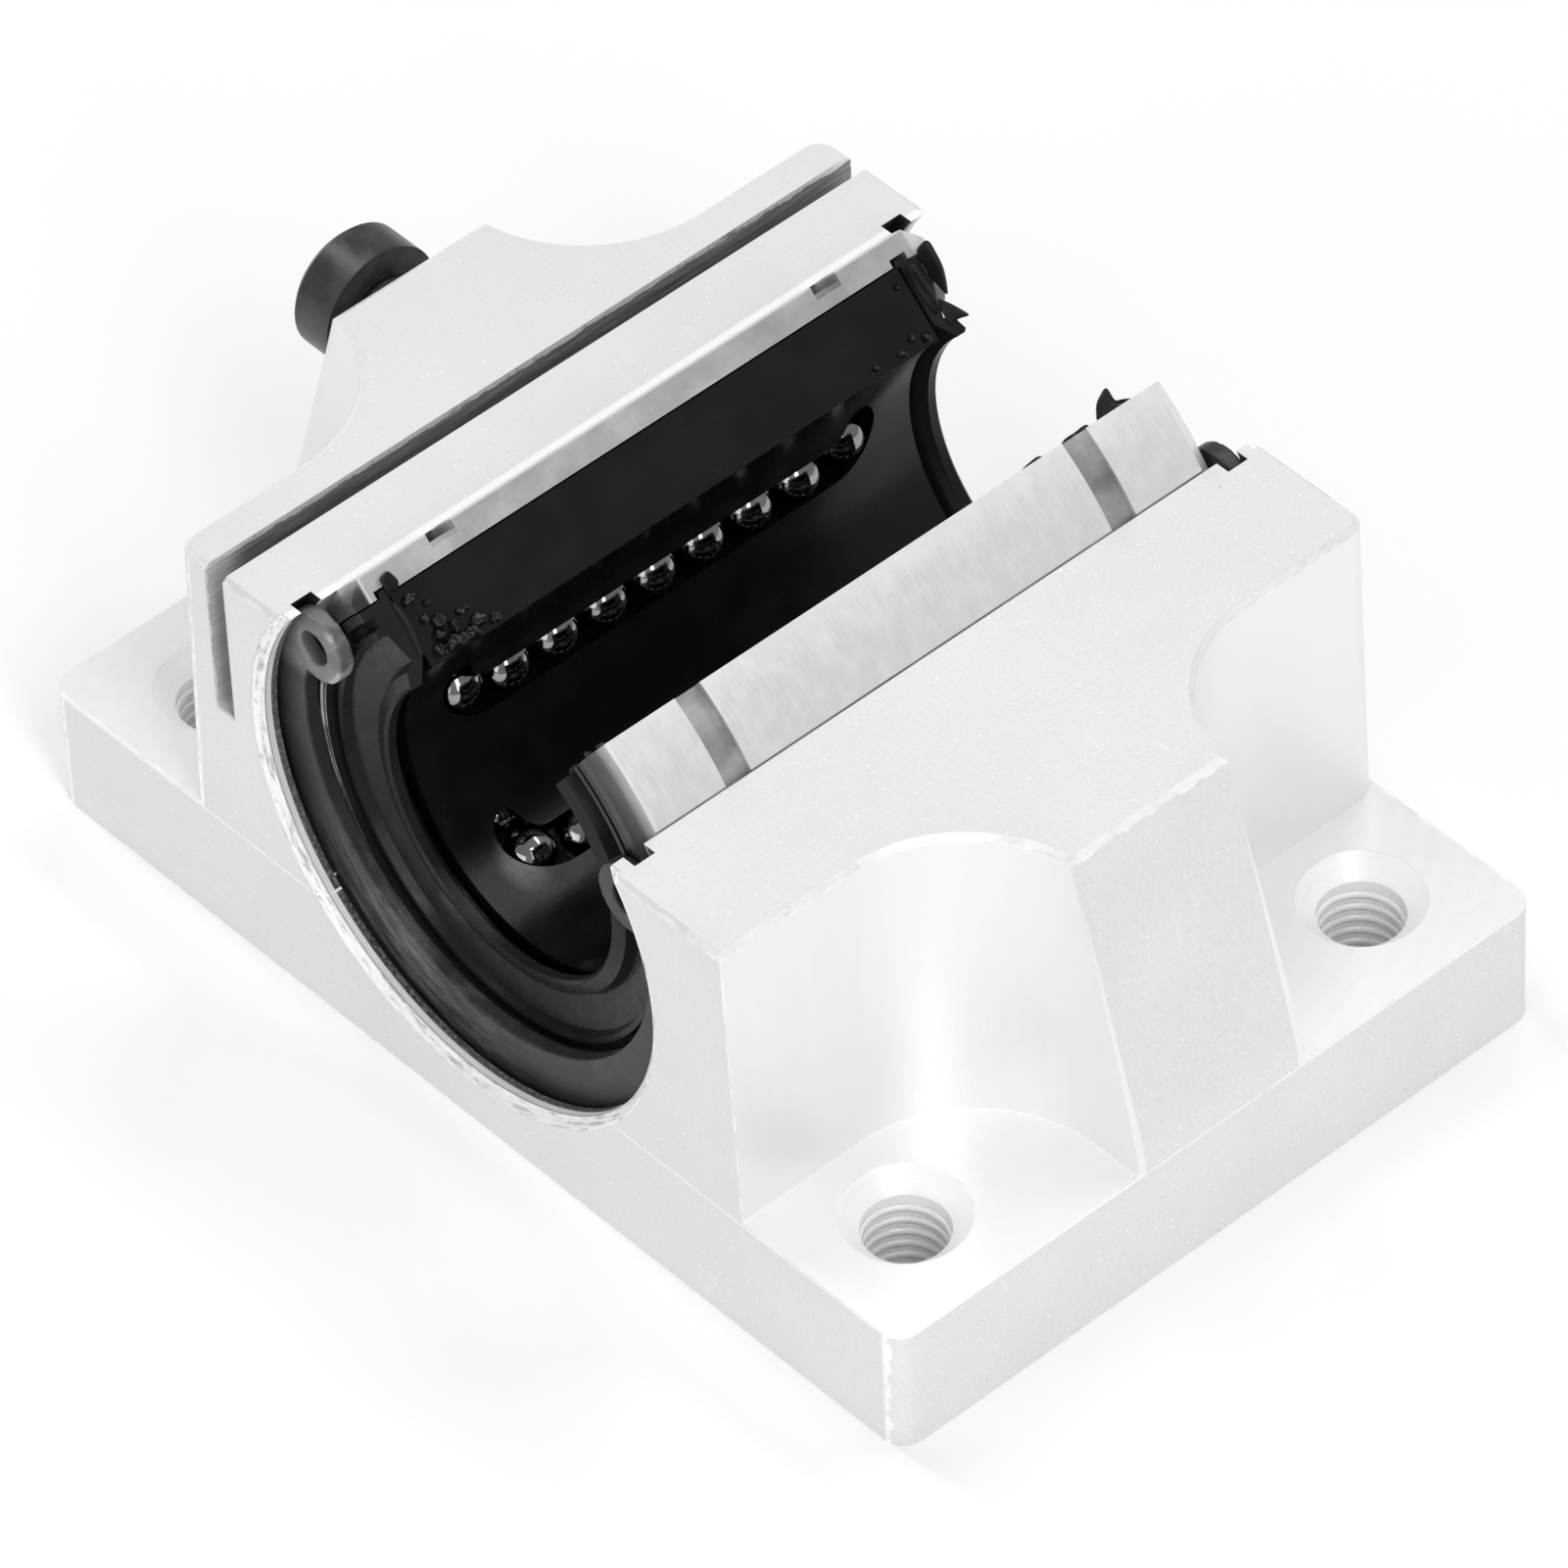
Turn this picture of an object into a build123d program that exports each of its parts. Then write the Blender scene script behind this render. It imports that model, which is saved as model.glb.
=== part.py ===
"""Open linear bearing block: a flanged aluminium housing with an open ball bushing for a 16 mm
shaft on a support rail. Millimetres, +Z up. The origin is at the bottom centre of the mounting
face, X runs across the bore, Y along it, and the slot for the rail opens upwards."""

import math
import os

from build123d import *

# Housing: extruded aluminium profile, milled at its four corners
flange_width = 62.0
block_length = 42.0
flange_thickness = 7.5
bore_floor = 3.0
crown_height = 8.0
boss_side_run = 4.7
boss_foot_rise = 1.0
boss_foot_radius = 7.0
flange_corner_radius = 1.3
tower_corner_radius = 1.2
edge_break = 0.3
bore_mouth_chamfer = 0.4
bore_end_margin = 2.5

# Milled corner pockets, which leave a flat round each mounting hole
tower_outer_leaf = 2.85
tower_width = 11.0
pocket_radius = 8.0
pocket_draft_deg = 2.0

# Four M5 tapped holes, on 50 by 30
hole_wall_distance = 4.9
hole_end_distance = 6.0
tapped_hole_radius = 2.24
countersink_radius = 3.3
hole_foot_chamfer = 0.4

# Slit beside the bore, and the screw across it that closes the bore on the bushing
slit_leaf = 1.93
slit_width = 1.3
slit_depth = 9.4
screw_drop = 4.4
screw_radius = 1.95
screw_head_gap = 0.35
screw_tip_reach = 0.35
screw_hole_clearance = 0.05
screw_head_radius = 3.5
screw_head_height = 2.8
screw_head_edge = 0.35
screw_tip_chamfer = 0.5
socket_across_flats = 2.5
socket_depth = 1.5

# Ball bushing, of the open 16 by 28 by 37 size
shaft_radius = 8.0
bushing_wall = 6.0
bushing_seat_clearance = 0.02
opening_half_angle = 40.0
bushing_turn = -5.0
ring_groove_inset = 5.25
ring_groove_width = 1.6
ring_groove_depth = 0.5
sleeve_wall = 1.4
sleeve_end_chamfer = 0.9
snap_groove_width = 1.0
snap_groove_depth = 0.4
snap_groove_inset = 1.3
land_half_angle = 7.0
land_end_inset = 0.5

# Balls: 7/64 inch, in four closed circuits
ball_radius = 2.778 / 2
ball_gap = 0.395
ball_play = 0.15
contact_play = 0.01
land_play = 0.02
return_row_lift = 0.9
balls_in_turn = 2
channel_end_wall = 1.2
load_row_angles = {
    "left_upper": -90.0,
    "left_lower": -150.0,
    "right_lower": 150.0,
    "right_upper": 90.0,
}

# Ball retainer and end seals
retainer_shaft_gap = 0.4
retainer_clearance = 0.1
retainer_end_gap = 0.15
retainer_edge_inset_deg = 0.6
seal_thickness = 1.9
seal_face_inset = 0.1
seal_rim_width = 0.5
seal_dish_depth = 0.7
seal_bead_clearance = 0.12
seal_rib_inset = 1.0
seal_rib_foot_width = 0.6
seal_rib_lean = 0.15
seal_rib_drop = 0.2
seal_lip_clearance = 0.05
seal_lip_depth = 1.15
seal_lip_valley = 0.45
seal_lip_shoulder = 0.3
seal_lip_shoulder_rise = 0.1
seal_lip_rise = 0.35
seal_lip_edge = 0.15
seal_lip_length = 0.5

# Retaining rings for a 28 mm bore, one in a groove at each end of the housing
clip_thickness = 1.2
clip_groove_width = 1.3
clip_groove_depth = 0.7
clip_groove_play = 0.1
clip_width_at_foot = 3.2
clip_width_at_ears = 1.9
clip_ear_angle = 58.0
clip_hole_radius = 1.0
clip_hole_depth = 2.2
clip_ear_radius = 2.1

# Worked out from the sizes above
half_length = block_length / 2
bushing_length = block_length - 2 * bore_end_margin
bushing_radius = shaft_radius + bushing_wall
bore_radius = bushing_radius + bushing_seat_clearance
bore_centre_height = bushing_radius + bore_floor
block_height = bore_centre_height + crown_height
shaft_axis = Pos(0, 0, bore_centre_height)
boss_foot_height = flange_thickness + boss_foot_rise
slit_inner_x = bore_radius + slit_leaf
slit_outer_x = slit_inner_x + slit_width
pocket_wall_x = slit_outer_x + tower_outer_leaf
hole_x = pocket_wall_x + hole_wall_distance
hole_y = half_length - hole_end_distance
screw_height = block_height - screw_drop
screw_head_rest_x = flange_width / 2 - boss_side_run * (
    (screw_height - screw_head_radius - boss_foot_height) / (block_height - boss_foot_height)
)
screw_head_x = -(screw_head_rest_x + screw_head_gap)
screw_length = -screw_head_x - (slit_outer_x - screw_tip_reach)
sleeve_inner_radius = bushing_radius - sleeve_wall
ball_pitch = 2 * ball_radius + ball_gap
turn_radius = ball_pitch * balls_in_turn / math.pi
load_row_radius = shaft_radius + contact_play + ball_radius
return_row_radius = load_row_radius + return_row_lift
land_radius = load_row_radius + ball_radius + land_play
channel_radius = ball_radius + ball_play
retainer_inner_radius = shaft_radius + retainer_shaft_gap
retainer_outer_radius = sleeve_inner_radius - retainer_clearance
retainer_half_length = bushing_length / 2 - seal_thickness - retainer_end_gap
channel_end = turn_radius + channel_radius + channel_end_wall
balls_in_row = int(2 * (retainer_half_length - channel_end) / ball_pitch)
straight_length = balls_in_row * ball_pitch
land_half_length = straight_length / 2 - land_end_inset
row_step_deg = math.degrees(
    math.acos(
        (load_row_radius**2 + return_row_radius**2 - 4 * turn_radius**2)
        / (2 * load_row_radius * return_row_radius)
    )
)
seal_lip_radius = shaft_radius + seal_lip_clearance
seal_lip_root_radius = seal_lip_radius + seal_lip_depth
clip_outer_radius = bushing_radius + clip_groove_depth - clip_groove_play
clip_inner_face = bushing_length / 2 + (clip_groove_width - clip_thickness) / 2
overshoot = 1.0
beyond = 10.0
near = 1e-4


def around_bore(radius, half_width):
    """A solid cylinder along Y on the origin's axis, its seam up in the opening."""
    return Rot(0, -90, 0) * Rot(90, 0, 0) * Cylinder(radius, 2 * half_width)


def at_angle(radius, angle_deg, y=0.0):
    """A point round the Y axis, its angle counted from +Z towards +X."""
    angle = math.radians(angle_deg)
    return Vector(radius * math.sin(angle), y, radius * math.cos(angle))


def wedge(half_angle_deg, half_width):
    """A prism along Y with its edge on the axis, open towards +Z."""
    reach = 2 * block_height
    side = reach * math.tan(math.radians(half_angle_deg))
    outline = Plane.XZ * make_face(Polyline((0, 0), (side, reach), (-side, reach), close=True))
    return extrude(outline, half_width, both=True)


def turned(points):
    """A profile of radius and Y, revolved round the Y axis, its seam up in the opening."""
    return Rot(0, -90, 0) * revolve(make_face(Polyline(*points, close=True)), Axis.Y, 360)


def seat_bushing(piece):
    """Cuts the rail opening, turns the piece as the bushing sits, and lifts it to the bore."""
    opened = piece - wedge(opening_half_angle, bushing_length)
    return shaft_axis * Rot(0, bushing_turn, 0) * opened


def housing_blank():
    """The extruded profile: a flange with sloping sides up to a flat top."""
    side = flange_width / 2
    top = side - boss_side_run
    outline = Polyline(
        (-side, 0),
        (side, 0),
        (side, boss_foot_height),
        (top, block_height),
        (-top, block_height),
        (-side, boss_foot_height),
        close=True,
    )
    face = Plane.XZ * make_face(outline)
    shoulders = face.vertices().filter_by(lambda v: abs(v.Z - boss_foot_height) < near)
    face = fillet(shoulders, boss_foot_radius)
    blank = extrude(face, half_length, both=True)
    corners = blank.edges().filter_by(
        lambda e: abs(abs(e.center().X) - side) < near
        and abs(abs(e.center().Y) - half_length) < near
        and e.center().Z < flange_thickness
    )
    return fillet(corners, flange_corner_radius)


def corner_pocket(side_x, side_y):
    """The cut of an end mill that clears one corner down to the flange, its walls drafted."""
    size = flange_width + block_length
    wall_x = Pos(pocket_wall_x, 0, flange_thickness) * Rot(0, -pocket_draft_deg, 0)
    wall_y = Pos(0, tower_width / 2, flange_thickness) * Rot(pocket_draft_deg, 0, 0)
    quarter = Box(size, size, block_height, align=(Align.MIN, Align.MIN, Align.MIN))
    tool = Pos(0, 0, flange_thickness) * quarter
    tool &= wall_x * Box(size, size, size, align=(Align.MIN, Align.CENTER, Align.CENTER))
    tool &= wall_y * Box(size, size, size, align=(Align.CENTER, Align.MIN, Align.CENTER))
    upright = tool.edges().filter_by(lambda e: e.bounding_box().size.Z > block_height - near)
    tool = fillet(upright.sort_by(lambda e: e.center().X + e.center().Y)[0], pocket_radius)
    if side_x < 0:
        tool = mirror(tool, Plane.YZ)
    if side_y < 0:
        tool = mirror(tool, Plane.XZ)
    return tool


def tower_corners(block):
    """The upright outer edges of both towers at their ends, but for the sharp one in front."""
    upright = block.edges().filter_by(
        lambda e: e.center().Z > flange_thickness + overshoot
        and abs(abs(e.center().Y) - half_length) < near
        and e.bounding_box().size.Z > (block_height - flange_thickness) / 2
    )
    return [e for e in upright if not (e.center().X > 0 and e.center().Y < 0)]


def tapped_hole():
    """A through hole at the thread's core size, countersunk on top and eased below."""
    top = flange_thickness
    profile = Plane.XZ * make_face(
        Polyline(
            (0, -overshoot),
            (tapped_hole_radius + hole_foot_chamfer + overshoot, -overshoot),
            (tapped_hole_radius, hole_foot_chamfer),
            (tapped_hole_radius, top - (countersink_radius - tapped_hole_radius)),
            (countersink_radius + overshoot, top + overshoot),
            (0, top + overshoot),
            close=True,
        )
    )
    return revolve(profile, Axis.Z, 360)


def bore_cut():
    """The bore with eased mouths and the two grooves of the retaining rings."""
    groove_inner = bushing_length / 2
    groove_outer = groove_inner + clip_groove_width
    groove_radius = bushing_radius + clip_groove_depth
    end = half_length + overshoot
    profile = [
        (0, end),
        (bore_radius + bore_mouth_chamfer + overshoot, end),
        (bore_radius, half_length - bore_mouth_chamfer),
        (bore_radius, groove_outer),
        (groove_radius, groove_outer),
        (groove_radius, groove_inner),
        (bore_radius, groove_inner),
    ]
    profile += [(radius, -y) for radius, y in reversed(profile)]
    return shaft_axis * turned(profile)


def slit_cut():
    """The saw cut beside the bore, open at the top and at both ends."""
    cut = Box(
        slit_width, block_length + beyond, slit_depth + beyond, align=(Align.MAX, Align.CENTER, Align.MIN)
    )
    return Pos(-slit_inner_x, 0, block_height - slit_depth) * cut


def along_minus_x(piece):
    """Lays a piece drawn up +Z from the head's underside along -X, at the screw's place."""
    return Pos(screw_head_x, 0, screw_height) * Rot(0, -90, 0) * piece


def screw_hole():
    """The screw's hole, from the slit out through the boss."""
    start = -screw_head_x - slit_inner_x - slit_width / 2
    hole = Cylinder(
        screw_radius + screw_hole_clearance, start + beyond, align=(Align.CENTER, Align.CENTER, Align.MIN)
    )
    return along_minus_x(Pos(0, 0, -start) * hole)


def housing():
    """The whole housing, milled, bored, slit and drilled from the blank."""
    block = housing_blank()
    for side_x in (-1, 1):
        for side_y in (-1, 1):
            block -= corner_pocket(side_x, side_y)
    block = fillet(tower_corners(block), tower_corner_radius)
    rims = block.edges().filter_by(lambda e: e.bounding_box().min.Z > block_height - near)
    block = chamfer(rims, edge_break)
    block -= bore_cut()
    block -= slit_cut()
    for side_x in (-1, 1):
        for side_y in (-1, 1):
            block -= Pos(side_x * hole_x, side_y * hole_y, 0) * tapped_hole()
    return block - screw_hole()


def outer_sleeve():
    """Hardened steel shell with two outer ring grooves and a ground land over each load row."""
    end = bushing_length / 2
    groove_outer = end - ring_groove_inset
    groove_inner = groove_outer - ring_groove_width
    groove_radius = bushing_radius - ring_groove_depth
    snap_outer = end - snap_groove_inset
    snap_inner = snap_outer - snap_groove_width
    snap_radius = sleeve_inner_radius + snap_groove_depth
    half = [
        (sleeve_inner_radius, snap_inner),
        (snap_radius, snap_inner),
        (snap_radius, snap_outer),
        (sleeve_inner_radius, snap_outer),
        (sleeve_inner_radius, end),
        (bushing_radius - sleeve_end_chamfer, end),
        (bushing_radius, end - sleeve_end_chamfer),
        (bushing_radius, groove_outer),
        (groove_radius, groove_outer),
        (groove_radius, groove_inner),
        (bushing_radius, groove_inner),
    ]
    shell = turned(half + [(radius, -y) for radius, y in reversed(half)])
    overlap = sleeve_wall / 2
    ring = around_bore(sleeve_inner_radius + overlap, land_half_length)
    ring -= around_bore(land_radius, land_half_length + overshoot)
    for angle in load_row_angles.values():
        shell += ring & (Rot(0, angle, 0) * wedge(land_half_angle, land_half_length + overshoot))
    return seat_bushing(shell)


def circuit_axes(load_angle):
    """Centres of the load and return rows of one circuit at mid length, and its outward normal."""
    back_angle = load_angle - math.copysign(row_step_deg, load_angle)
    load = at_angle(load_row_radius, load_angle)
    back = at_angle(return_row_radius, back_angle)
    across = (load - back).normalized()
    outward = across.cross(Vector(0, 1, 0))
    if outward.dot(load) < 0:
        outward = outward * -1
    return load, back, across, outward


def channel_cut(load_angle):
    """The racetrack that one circuit rolls in: a round-bottomed channel, open outwards."""
    load, back, across, outward = circuit_axes(load_angle)
    middle = (load + back) * 0.5
    frame = Plane(origin=middle, x_dir=(0, 1, 0), z_dir=outward)
    outer = SlotCenterToCenter(straight_length, 2 * (turn_radius + channel_radius))
    inner = SlotCenterToCenter(straight_length, 2 * (turn_radius - channel_radius))
    cut = extrude(outer - inner, bushing_radius)
    for side in (-1, 1):
        straight = Pos(0, side * turn_radius, 0) * Rot(0, 90, 0) * Cylinder(channel_radius, straight_length)
        bend = Pos(side * straight_length / 2, 0, 0) * Torus(turn_radius, channel_radius)
        cut += straight
        cut += bend & Pos(side * (straight_length / 2 + beyond / 2), 0, 0) * Box(beyond, beyond, beyond)
    return frame * cut


def ball_retainer():
    """Moulded cage that guides the four circuits and holds the balls in when the shaft is out."""
    cage = around_bore(retainer_outer_radius, retainer_half_length)
    cage -= around_bore(retainer_inner_radius, retainer_half_length + overshoot)
    cage -= wedge(opening_half_angle + retainer_edge_inset_deg, bushing_length)
    land_room_length = land_half_length + 2 * retainer_clearance
    land_room = around_bore(bushing_radius, land_room_length)
    land_room -= around_bore(land_radius - retainer_clearance, land_room_length + overshoot)
    room_angle = land_half_angle + math.degrees(2 * retainer_clearance / land_radius)
    for angle in load_row_angles.values():
        cage -= land_room & (Rot(0, angle, 0) * wedge(room_angle, bushing_length))
        cage -= channel_cut(angle)
    return seat_bushing(cage)


def end_seal(side):
    """Wiper with a lip near the shaft and a bead that snaps into the sleeve; side -1 is the front."""
    face = bushing_length / 2 - seal_face_inset
    back = bushing_length / 2 - seal_thickness
    dish = face - seal_dish_depth
    rim = retainer_outer_radius
    snap_outer = bushing_length / 2 - snap_groove_inset - seal_bead_clearance
    snap_inner = snap_outer - snap_groove_width + 2 * seal_bead_clearance
    bead = sleeve_inner_radius + snap_groove_depth - seal_bead_clearance
    rib_outer = rim - seal_rib_inset
    rib_inner = rib_outer - seal_rib_foot_width
    rib_top = face - seal_rib_drop
    lip = seal_lip_radius
    lip_crest = dish + seal_lip_rise
    profile = [
        (rim, back),
        (rim, snap_inner),
        (bead, snap_inner + seal_bead_clearance),
        (bead, snap_outer - seal_bead_clearance),
        (rim, snap_outer),
        (rim, face),
        (rim - seal_rim_width, face),
        (rim - seal_rim_width, dish),
        (rib_outer, dish),
        (rib_outer - seal_rib_lean, rib_top),
        (rib_inner + seal_rib_lean, rib_top),
        (rib_inner, dish),
        (seal_lip_root_radius, dish - seal_lip_valley),
        (seal_lip_root_radius - seal_lip_shoulder, dish + seal_lip_shoulder_rise),
        (lip + seal_lip_edge, lip_crest),
        (lip, lip_crest - seal_lip_edge),
        (lip, lip_crest - seal_lip_edge - seal_lip_length),
        (seal_lip_root_radius, back),
    ]
    seal = turned(profile)
    if side < 0:
        seal = mirror(seal, Plane.XZ)
    return seat_bushing(seal)


def retaining_ring(side):
    """Flat spring ring, widest opposite its gap, with two eared ends; side -1 is the front."""
    inner_radius = clip_outer_radius - (clip_width_at_foot + clip_width_at_ears) / 2
    shift = (clip_width_at_foot - clip_width_at_ears) / 2
    ring = Circle(clip_outer_radius) - Pos(0, shift) * Circle(inner_radius)
    reach = 2 * clip_outer_radius
    side_x = reach * math.tan(math.radians(clip_ear_angle))
    ring -= make_face(Polyline((0, 0), (side_x, reach), (-side_x, reach), close=True))
    for sign in (-1, 1):
        place = at_angle(clip_outer_radius - clip_hole_depth, sign * clip_ear_angle)
        ring += Pos(place.X, place.Z) * Circle(clip_ear_radius)
        ring -= Pos(place.X, place.Z) * Circle(clip_hole_radius)
    plate = extrude(Plane.XZ * ring, clip_thickness / 2, both=True)
    offset = clip_inner_face + clip_thickness / 2
    return shaft_axis * Pos(0, side * offset, 0) * plate


def adjusting_screw():
    """Socket head cap screw, laid along X, its head over the flat and its tip on the inner wall."""
    head = Cylinder(screw_head_radius, screw_head_height, align=(Align.CENTER, Align.CENTER, Align.MIN))
    crown = head.edges().filter_by(lambda e: e.center().Z > screw_head_height / 2)
    head = chamfer(crown, screw_head_edge)
    hexagon = RegularPolygon(socket_across_flats / 2, 6, major_radius=False)
    head -= Pos(0, 0, screw_head_height - socket_depth) * extrude(hexagon, socket_depth)
    shank = Cylinder(screw_radius, screw_length, align=(Align.CENTER, Align.CENTER, Align.MAX))
    tip = shank.edges().filter_by(lambda e: e.center().Z < -screw_length / 2)
    shank = chamfer(tip, screw_tip_chamfer)
    return along_minus_x(head + shank)


def ball_at(place):
    """A ball, at a place given from the bushing's own axis."""
    seat = shaft_axis * Rot(0, bushing_turn, 0)
    return seat * Pos(place.X, place.Y, place.Z) * Sphere(ball_radius)


def row_places(centre):
    """Ball centres of one straight row, evenly pitched about mid length."""
    first = -(balls_in_row - 1) / 2 * ball_pitch
    return [centre + Vector(0, first + i * ball_pitch, 0) for i in range(balls_in_row)]


def turn_places(load, back, across, side):
    """Ball centres of the half turn at one end; side -1 is the front."""
    middle = (load + back) * 0.5 + Vector(0, side * straight_length / 2, 0)
    step = math.pi / balls_in_turn
    angles = [(i + 0.5) * step for i in range(balls_in_turn)]
    along = Vector(0, side, 0)
    return [
        middle + across * (turn_radius * math.cos(a)) + along * (turn_radius * math.sin(a))
        for a in angles
    ]


def ball_groups(load_angle):
    """The balls of one circuit, by the straight or turn that they lie in."""
    load, back, across, _ = circuit_axes(load_angle)
    places = {
        "load_balls": row_places(load),
        "return_balls": row_places(back),
        "front_turn_balls": turn_places(load, back, across, -1),
        "rear_turn_balls": turn_places(load, back, across, 1),
    }
    return {name: Compound(children=[ball_at(p) for p in group]) for name, group in places.items()}


def build():
    pieces = {
        "housing": housing(),
        "outer_sleeve": outer_sleeve(),
        "ball_retainer": ball_retainer(),
        "front_seal": end_seal(-1),
        "rear_seal": end_seal(1),
        "front_retaining_ring": retaining_ring(-1),
        "rear_retaining_ring": retaining_ring(1),
        "adjusting_screw": adjusting_screw(),
    }
    for circuit, angle in load_row_angles.items():
        for group, balls in ball_groups(angle).items():
            pieces[f"{circuit}_{group}"] = balls
    return pieces


os.makedirs("parts", exist_ok=True)
for name, piece in build().items():
    export_step(piece, f"parts/{name}.step")
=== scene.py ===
"""Looks of the open linear bearing block: finishes for the housing, bushing, rings, screw and balls,
the threads in the mounting holes, the torn ends of the seals, and the studio with its camera."""

import math

import bpy
from mathutils import Matrix, Vector


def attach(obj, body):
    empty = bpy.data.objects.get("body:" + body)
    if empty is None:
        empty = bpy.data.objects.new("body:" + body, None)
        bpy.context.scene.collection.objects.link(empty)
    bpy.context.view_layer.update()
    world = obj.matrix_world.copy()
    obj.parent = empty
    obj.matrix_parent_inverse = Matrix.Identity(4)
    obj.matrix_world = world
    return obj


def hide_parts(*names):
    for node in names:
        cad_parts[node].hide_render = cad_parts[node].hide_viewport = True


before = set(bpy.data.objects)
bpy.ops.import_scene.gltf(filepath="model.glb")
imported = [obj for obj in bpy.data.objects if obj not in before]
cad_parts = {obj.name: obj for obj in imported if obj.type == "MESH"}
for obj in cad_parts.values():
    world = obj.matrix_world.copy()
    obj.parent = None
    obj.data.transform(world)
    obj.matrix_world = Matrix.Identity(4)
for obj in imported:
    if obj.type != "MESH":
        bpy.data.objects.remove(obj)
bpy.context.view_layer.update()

MM = 0.001

# Places on the block, in millimetres, as the part has them
BORE_HEIGHT = 17.0
BORE_RADIUS = 14.0
MOUTH_RADIUS = 14.5
RING_GROOVE_RADIUS = 14.8
RING_GROOVE = (18.5, 19.8)
FLANGE_TOP = 7.5
BLOCK_TOP = 25.0
HALF_LENGTH = 21.0
POCKET_WALL_X = 19.3
POCKET_WALL_Y = 5.0
SLIT_LOW = 15.5
SLIT_SIDES = (-17.3, -15.9)
SCREW_HEIGHT = 20.6
SCREW_SHANK = 2.0
SCREW_PITCH = 0.7
HOLE_X = 25.0
HOLE_Y = 15.0
HOLE_RADIUS = 2.24
COUNTERSINK_RADIUS = 3.3
THREAD_CREST = 2.07
THREAD_PITCH = 0.8
THREAD_START = 0.45
THREAD_TURNS = 7
SLEEVE_RADIUS = 14.0
SLEEVE_GROOVE = (11.66, 13.24)
SLEEVE_FACE = 17.55
LEFT_EDGE = -45.0
RIGHT_EDGE = 35.0

# The spring rings, and each ring's back face along the bore with its two ears: an ear's side, its
# angle from straight up, and how far out its hole is
RING_RADIUS = 14.58
RING_FOOT = 3.2
RING_TOP = 1.3
RING_THICKNESS = 0.9
RING_VOXEL = 0.11
EAR_ANGLE = 64.0
EAR_PLACE = 12.6
EAR_RADIUS = 2.0
EAR_HOLE = 0.95
RINGS = {
    "front": (18.53, ((-1, EAR_ANGLE, EAR_PLACE), (1, 67.5, 12.0))),
    "rear": (18.84, ((-1, 66.0, 12.1), (1, 61.5, 12.5))),
}

# The front seal's fine ridges: where they begin and end round the bore, and each one's distance from
# the axis, place along it and thickness
BEAD_START = 195.0
BEAD_END = 293.0
BEADS = {
    "outer": (12.32, -18.4, 0.1),
    "middle": (12.08, -18.36, 0.06),
    "inner": (11.62, -17.72, 0.07),
}

# The camera's place, which was fitted to the photograph's corners, and its lens in pixels
VIEW_AZIMUTH = 49.68
VIEW_ELEVATION = 44.61
VIEW_ROLL = -2.84
VIEW_OFFSET = (-0.26, 5.68, 620.2)
LENS_PIXELS = 12851.0
PHOTO_PIXELS = 1601.0
SENSOR_WIDTH = 36.0


# Materials

def new_finish(name, metallic, roughness):
    """A material, its shader, and each point's place on the piece in millimetres."""
    material = bpy.data.materials.new(name)
    material.use_nodes = True
    tree = material.node_tree
    shader = tree.nodes["Principled BSDF"]
    shader.inputs["Metallic"].default_value = metallic
    shader.inputs["Roughness"].default_value = roughness
    place = tree.nodes.new("ShaderNodeTexCoord")
    scale = tree.nodes.new("ShaderNodeVectorMath")
    scale.operation = "SCALE"
    scale.inputs["Scale"].default_value = 1 / MM
    tree.links.new(place.outputs["Object"], scale.inputs[0])
    return material, tree, shader, scale.outputs["Vector"]


def stretched(tree, spot, sizes):
    """The place with each axis divided by a length, so that a pattern is drawn out along it."""
    node = tree.nodes.new("ShaderNodeMapping")
    node.inputs["Scale"].default_value = [1 / s for s in sizes]
    tree.links.new(spot, node.inputs["Vector"])
    return node.outputs["Vector"]


def cloud(tree, spot, scale, detail=4.0, rough=0.55):
    """Soft noise from 0 to 1, with that many waves to a millimetre."""
    node = tree.nodes.new("ShaderNodeTexNoise")
    node.inputs["Scale"].default_value = scale
    node.inputs["Detail"].default_value = detail
    node.inputs["Roughness"].default_value = rough
    tree.links.new(spot, node.inputs["Vector"])
    return node.outputs["Fac"]


def reach(tree, value, low, high, out_low=0.0, out_high=1.0):
    """Smoothly from out_low at low to out_high at high."""
    node = tree.nodes.new("ShaderNodeMapRange")
    node.interpolation_type = "SMOOTHSTEP"
    node.inputs["From Min"].default_value = low
    node.inputs["From Max"].default_value = high
    node.inputs["To Min"].default_value = out_low
    node.inputs["To Max"].default_value = out_high
    tree.links.new(value, node.inputs["Value"])
    return node.outputs["Result"]


def figure(tree, operation, a, b=None):
    """One sum on two values, either of which may be a plain number."""
    node = tree.nodes.new("ShaderNodeMath")
    node.operation = operation
    for socket, value in zip(node.inputs, (a, b)):
        if value is None:
            continue
        if isinstance(value, (int, float)):
            socket.default_value = value
        else:
            tree.links.new(value, socket)
    return node.outputs["Value"]


def product(tree, *values):
    """All the values multiplied together."""
    result = values[0]
    for value in values[1:]:
        result = figure(tree, "MULTIPLY", result, value)
    return result


def either(tree, *values):
    """The greatest of the values."""
    result = values[0]
    for value in values[1:]:
        result = figure(tree, "MAXIMUM", result, value)
    return result


def within(tree, value, low, high, soft):
    """1 between low and high, fading to 0 over a soft edge."""
    rise = reach(tree, value, low - soft, low)
    fall = reach(tree, value, high, high + soft, 1.0, 0.0)
    return product(tree, rise, fall)


def axes(tree, spot):
    """The place's X, Y and Z."""
    node = tree.nodes.new("ShaderNodeSeparateXYZ")
    tree.links.new(spot, node.inputs["Vector"])
    return node.outputs["X"], node.outputs["Y"], node.outputs["Z"]


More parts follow.
